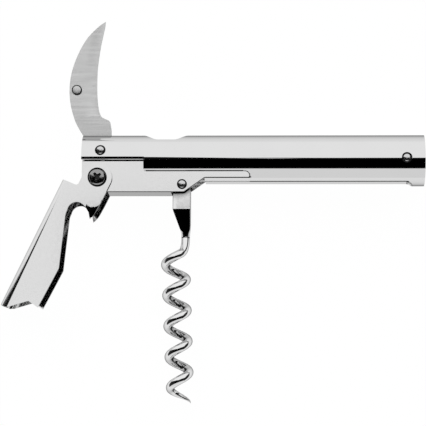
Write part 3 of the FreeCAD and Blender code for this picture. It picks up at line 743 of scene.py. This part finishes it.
def lever():
    """The channel-shaped lever, folded from one flat pattern."""
    side = lever_side()
    dense = []
    for index, (x, y) in enumerate(side):
        px, py = side[index - 1] if index else side[0]
        if index and min(y, py) < LEVER_BACK + 3:
            dense += [(px + (x - px) * k / 8, py + (y - py) * k / 8) for k in range(1, 8)]
        dense.append((x, y))
    front = [(x, side_s(x, y)) for x, y in dense]
    outline = front + [(x, -s) for x, s in reversed(front)]
    holes = [[(x, side_s(x, y)) for x, y in disc(0, 0, EYE_HOLE)]]
    holes.append([(x, -s) for x, s in holes[0]])
    flat = filled([outline] + holes)
    folds = [1 + k / 12 for k in range(13)]
    cut_lines(flat, [-s for s in folds] + folds, axis=1)
    cut_lines(flat, [6.0 + 0.25 * k for k in range(36)], axis=0)
    heights = [10.0 + 0.25 * k for k in range(22)]
    cut_lines(flat, heights + [-h for h in heights], axis=1)
    piece = shell("lever_channel", flat, lever_map(0.0, tooth_coin),
                  lever_map(LEVER_SHEET, lambda x, y: 0.0))
    round_edges(piece, 0.14)
    dress(piece, LEVER_STEEL, "bottle_lever", "lever_chrome", "lever")


# ---------------------------------------------------------------- worm
WIRE_RADIUS = 1.4
PITCH = 10.2
TURNS = 5.0
COIL_TOP = Vector((-2.4, -21.2, 0))                      # from the hinge
COIL_RADIUS = 3.45                                       # of the wire's centre line
COIL_TAPER = math.radians(0.3)
COIL_LEAN = math.radians(2.2)
POINT_TURN = 1.25 * math.pi                              # the part of the coil that is ground to a point
SHANK_MID_X, SHANK_HALF_X, SHANK_HALF_Z, SHANK_ROUND = -0.25, 2.92, 3.5, 2.9
SHANK_CORNER, NECK_CORNER = 0.16, 0.12
NECK_TOP, NECK_LOW, NECK_X = -8.0, -16.9, 1.05
JOIN_TURN = math.radians(50)                             # where the neck's bend meets the coil
JOIN_REACH = 5.2


def section(half_x, half_z, corner, count=40):
    """A rounded rectangle around the origin as (x, z) points."""
    corner = min(corner, half_x, half_z)
    points = []
    for quarter, (sx, sz) in enumerate(((1, 1), (-1, 1), (-1, -1), (1, -1))):
        for i in range(count // 4):
            turn = math.pi / 2 * (quarter + i / (count // 4 - 1))
            points.append((sx * (half_x - corner) + corner * math.cos(turn),
                           sz * (half_z - corner) + corner * math.sin(turn)))
    return points


def coil_centre(turn):
    """Wire centre line of the coil; turn is in radians from its first right-hand crest."""
    drop = PITCH * turn / (2 * math.pi)
    radius = COIL_RADIUS - drop * math.tan(COIL_TAPER) + 0.15 * (WIRE_RADIUS - coil_thickness(turn))
    x, y = radius * math.cos(turn), -drop
    return COIL_TOP + Vector((x * math.cos(COIL_LEAN) - y * math.sin(COIL_LEAN),
                              x * math.sin(COIL_LEAN) + y * math.cos(COIL_LEAN), radius * math.sin(turn)))


def coil_thickness(turn):
    """Wire radius, falling to a point over the last part of the coil."""
    end = 2 * math.pi * TURNS
    share = max(0.0, (turn - (end - POINT_TURN)) / POINT_TURN)
    return WIRE_RADIUS * (1 - share ** 1.5) + 0.06


def shank_stations():
    """Sections of the flat shank, from its rounded top to where the neck starts."""
    rings = []
    for i in range(9):
        turn = math.pi / 2 * (1 - i / 8)
        rings.append((max(0.05, math.cos(turn)), SHANK_ROUND * math.sin(turn)))
    rings += [(1.0, y) for y in (-2.0, -4.0, -6.0, -7.7, -7.9)]
    flat = section(SHANK_HALF_X, SHANK_HALF_Z, SHANK_CORNER)
    return [[Vector((SHANK_MID_X + x * share, y, z)) for x, z in flat] for share, y in rings]


def neck_stations(steps=18):
    """Sections of the neck, which narrows from the flat shank into round wire."""
    shank_left, shank_right = SHANK_MID_X - SHANK_HALF_X, SHANK_MID_X + SHANK_HALF_X
    stations = []
    for k in range(steps + 1):
        share = k / steps
        y = NECK_TOP + (NECK_LOW - NECK_TOP) * share
        fall = min(1.0, max(0.0, (NECK_TOP - 0.2 - y) / 7.6))
        left = shank_left + (NECK_X - WIRE_RADIUS - shank_left) * fall
        right = shank_right + (NECK_X + WIRE_RADIUS - shank_right) * smoothstep((-12.5 - y) / 4.6)
        deep = SHANK_HALF_Z + (WIRE_RADIUS - SHANK_HALF_Z) * min(1.0, share * 1.02)
        corner = NECK_CORNER + (WIRE_RADIUS - NECK_CORNER) * smoothstep((share - 0.72) / 0.28)
        stations.append([Vector(((left + right) / 2 + x, y, z))
                         for x, z in section((right - left) / 2, deep, corner)])
    return stations


def wire_line(bend_steps=17, coil_steps=280):
    """Centre and radius along the round wire: a smooth bend out of the neck, then the coil."""
    start, end = Vector((NECK_X, NECK_LOW, 0)), coil_centre(JOIN_TURN)
    leaving = Vector((0, -JOIN_REACH, 0))
    arriving = (coil_centre(JOIN_TURN + 0.01) - coil_centre(JOIN_TURN - 0.01)).normalized() * JOIN_REACH
    line = []
    for k in range(1, bend_steps):
        t = k / bend_steps
        line.append(((2 * t ** 3 - 3 * t ** 2 + 1) * start + (t ** 3 - 2 * t ** 2 + t) * leaving
                     + (3 * t ** 2 - 2 * t ** 3) * end + (t ** 3 - t ** 2) * arriving, WIRE_RADIUS))
    for k in range(coil_steps + 1):
        turn = JOIN_TURN + (2 * math.pi * TURNS - JOIN_TURN) * k / coil_steps
        line.append((coil_centre(turn), coil_thickness(turn)))
    return start, line


def wire_stations():
    """Round sections square to the wire.

    The first runs round the way the neck's sections do and the others run the other way, so the
    narrow strip between the first two crosses over itself.
    """
    start, line = wire_line()
    across = Vector((1, 0, 0))
    stations = []
    for index, (centre, radius) in enumerate(line):
        before = line[index - 1][0] if index else start
        after = line[min(index + 1, len(line) - 1)][0]
        tangent = (after - before).normalized()
        across = (across - across.dot(tangent) * tangent).normalized()
        deep = across.cross(tangent).normalized()
        if index == 0:
            deep = -deep
        stations.append([centre + across * x * radius + deep * z * radius for x, z in section(1, 1, 1)])
    return stations


def worm():
    """The worm in one sweep: flat shank, narrowing neck and pointed coil."""
    origin = Vector((WORM.x, WORM.y, MID_Z))
    stations = shank_stations() + neck_stations() + wire_stations()
    piece = sweep("worm_wire", [[origin + point for point in ring] for ring in stations])
    dress(piece, WIRE, "corkscrew_worm", "worm_chrome", "worm")


# ---------------------------------------------------------------- CAD nodes that stay
def carried_over():
    """The inner pieces, the plug and the frame's web keep their CAD meshes and get a finish."""
    finishes = {"end_plug": CHROME, "lever_post": SCREW, "frame_spacer": TURNED, "frame_web": PLATE,
                "blade_stop_pin": TURNED, "blade_spacers": TURNED, "worm_spacers": TURNED,
                "blade_spring_washers": SPRING, "worm_spring_washers": SPRING, "lever_shims": BRASS}
    for node, material in finishes.items():
        mesh = frame["nodes"][node].data
        mesh.materials.clear()
        mesh.materials.append(material)


# ---------------------------------------------------------------- stage, light and camera
FLOOR_HALF, FLOOR_DROP = 4.0, 0.00002                    # metres
FLOOR_GLOW = 0.88                                        # what the tool gets from the floor
FLOOR_SEEN, FLOOR_SEEN_SHARE = 1.05, 0.93                # what the camera sees of its own light


def emission(tree, strength):
    """A white emission shader."""
    glow = tree.nodes.new("ShaderNodeEmission")
    glow.inputs["Color"].default_value = (1, 1, 1, 1)
    glow.inputs["Strength"].default_value = strength
    return glow.outputs["Emission"]


def stage():
    """A pale plain floor that is lit from within, so the tool seems to lie on a light table."""
    z = CAD_BOX[0].z - FLOOR_DROP
    corners = [(x * FLOOR_HALF, y * FLOOR_HALF, z) for x, y in ((-1, -1), (1, -1), (1, 1), (-1, 1))]
    plane = bpy.data.meshes.new("floor")
    plane.from_pydata(corners, [], [(0, 1, 2, 3)])
    floor = bpy.data.objects.new("floor", plane)
    bpy.context.scene.collection.objects.link(floor)
    material = bpy.data.materials.new("pale_floor")
    material.use_nodes = True
    tree = material.node_tree
    tree.nodes.remove(tree.nodes["Principled BSDF"])
    matt = tree.nodes.new("ShaderNodeBsdfDiffuse")
    matt.inputs["Color"].default_value = (0.82, 0.82, 0.82, 1)
    seen = tree.nodes.new("ShaderNodeMixShader")
    seen.inputs["Fac"].default_value = FLOOR_SEEN_SHARE
    tree.links.new(matt.outputs["BSDF"], seen.inputs[1])
    tree.links.new(emission(tree, FLOOR_SEEN), seen.inputs[2])
    rays = tree.nodes.new("ShaderNodeLightPath")
    mix = tree.nodes.new("ShaderNodeMixShader")
    tree.links.new(rays.outputs["Is Camera Ray"], mix.inputs["Fac"])
    tree.links.new(emission(tree, FLOOR_GLOW), mix.inputs[1])
    tree.links.new(seen.outputs["Shader"], mix.inputs[2])
    tree.links.new(mix.outputs["Shader"], tree.nodes["Material Output"].inputs["Surface"])
    plane.materials.append(material)


def soft_edge(tree, value, low, high):
    """0 below low, 1 above high, smooth between."""
    ramp = tree.nodes.new("ShaderNodeMapRange")
    ramp.interpolation_type = "SMOOTHSTEP"
    ramp.inputs["From Min"].default_value = low
    ramp.inputs["From Max"].default_value = high
    tree.links.new(value, ramp.inputs["Value"])
    return ramp.outputs["Result"]


def calculate(tree, operation, first, second):
    """One math node."""
    node = tree.nodes.new("ShaderNodeMath")
    node.operation = operation
    for socket, value in zip(node.inputs, (first, second)):
        if isinstance(value, (int, float)):
            socket.default_value = value
        else:
            tree.links.new(value, socket)
    return node.outputs["Value"]


GAP_TOP, GAP_LOW = 0.106, -0.67                          # the dark gap's edges in the tent, as Y
GAP_STEP, GAP_RISE, GAP_STEP_X = 0.03, 0.345, -0.17      # its upper edge steps up and rises to the left
GAP_TOP_SOFT, GAP_LOW_SOFT = 0.004, 0.02
TENT_TOP, TENT_LOW = 0.94, 0.78                          # strength of the white above and below it
TENT_RIGHT = 0.7, 0.8                                    # where the tent darkens on the right
SIDE_LIGHT = 0.03
NOTCH_X = -0.172, -0.166, -0.109, -0.105                 # soft edges of the notch, as X / Z
NOTCH_Y = 0.015, 0.025, 0.14, 0.16                       # and as Y / Z
NOTCH_Z = 0.9, 0.92


def band(tree, value, rise_low, rise_high, fall_low, fall_high):
    """1 between two soft edges, 0 outside them."""
    return calculate(tree, "SUBTRACT", soft_edge(tree, value, rise_low, rise_high),
                     soft_edge(tree, value, fall_low, fall_high))


def studio():
    """A white tent with a dark gap across it at the lens: white beyond it above and below.

    The gap's upper edge steps up and rises to the left, a small light notch lies in the gap, and
    the far right of the tent is dark.
    """
    world = bpy.data.worlds.new("studio")
    bpy.context.scene.world = world
    world.use_nodes = True
    tree = world.node_tree
    where = tree.nodes.new("ShaderNodeTexCoord")
    parts = tree.nodes.new("ShaderNodeSeparateXYZ")
    tree.links.new(where.outputs["Generated"], parts.inputs["Vector"])
    x, y, z = parts.outputs["X"], parts.outputs["Y"], parts.outputs["Z"]
    rise = tree.nodes.new("ShaderNodeMapRange")
    rise.inputs["From Min"].default_value = GAP_STEP_X
    rise.inputs["From Max"].default_value = -1.0
    rise.inputs["To Min"].default_value = GAP_STEP
    rise.inputs["To Max"].default_value = GAP_RISE
    tree.links.new(x, rise.inputs["Value"])
    flat = calculate(tree, "MULTIPLY", soft_edge(tree, x, GAP_STEP_X - 0.02, GAP_STEP_X), GAP_STEP)
    above = calculate(tree, "ADD", calculate(tree, "SUBTRACT", y, rise.outputs["Result"]), flat)
    upper = calculate(tree, "MULTIPLY",
                      soft_edge(tree, above, GAP_TOP - GAP_TOP_SOFT, GAP_TOP + GAP_TOP_SOFT), TENT_TOP)
    lower = calculate(tree, "SUBTRACT", 1.0,
                      soft_edge(tree, y, GAP_LOW - GAP_LOW_SOFT, GAP_LOW + GAP_LOW_SOFT))
    lower = calculate(tree, "MULTIPLY", lower, TENT_LOW)
    left = calculate(tree, "SUBTRACT", 1.0, soft_edge(tree, x, *TENT_RIGHT))
    white = calculate(tree, "MULTIPLY", calculate(tree, "MAXIMUM", upper, lower), left)
    notch = calculate(tree, "MULTIPLY", band(tree, calculate(tree, "DIVIDE", x, z), *NOTCH_X),
                      band(tree, calculate(tree, "DIVIDE", y, z), *NOTCH_Y))
    notch = calculate(tree, "MULTIPLY", notch, soft_edge(tree, z, *NOTCH_Z))
    white = calculate(tree, "MAXIMUM", white, calculate(tree, "MULTIPLY", notch, TENT_TOP))
    dim = calculate(tree, "MULTIPLY", calculate(tree, "MULTIPLY", x, x), SIDE_LIGHT)
    background = tree.nodes["Background"]
    tree.links.new(calculate(tree, "ADD", white, dim), background.inputs["Strength"])
    background.inputs["Color"].default_value = (1, 1, 1, 1)


CAMERA_PLACE = Vector((0.0195, -0.0648, 0.6085))         # metres
CAMERA_TARGET = Vector((-0.000385, -0.00017, 0.0085))
CAMERA_ANGLE, CAMERA_ROLL = math.radians(13.405), math.radians(0.2)


def camera():
    """A long lens above the tool's lower right, leaning a few degrees off the vertical."""
    data = bpy.data.cameras.new("camera")
    made = bpy.data.objects.new("camera", data)
    bpy.context.scene.collection.objects.link(made)
    back = (CAMERA_PLACE - CAMERA_TARGET).normalized()
    right = Vector((0, 1, 0)).cross(back).normalized()
    turned = Matrix((right, back.cross(right), back)).transposed().to_4x4()
    made.matrix_world = Matrix.Translation(CAMERA_PLACE) @ turned @ Matrix.Rotation(CAMERA_ROLL, 4, "Z")
    data.sensor_width = 36
    data.angle = CAMERA_ANGLE
    data.clip_start = 0.01
    data.clip_end = 20
    bpy.context.scene.camera = made


# ---------------------------------------------------------------- the scene
tube()
side_plates()
painted_shadow_strips()
blade()
rivet("blade_rivet", "blade_pin", BLADE)
rivet("worm_rivet", "worm_pin", WORM)
rivet("plug_rivet", "plug_pin", PLUG_PIN)
stud()
screw()
lever()
worm()
carried_over()
stage()
studio()
camera()
scene = bpy.context.scene
scene.view_settings.view_transform = "Standard"
scene.view_settings.look = "None"
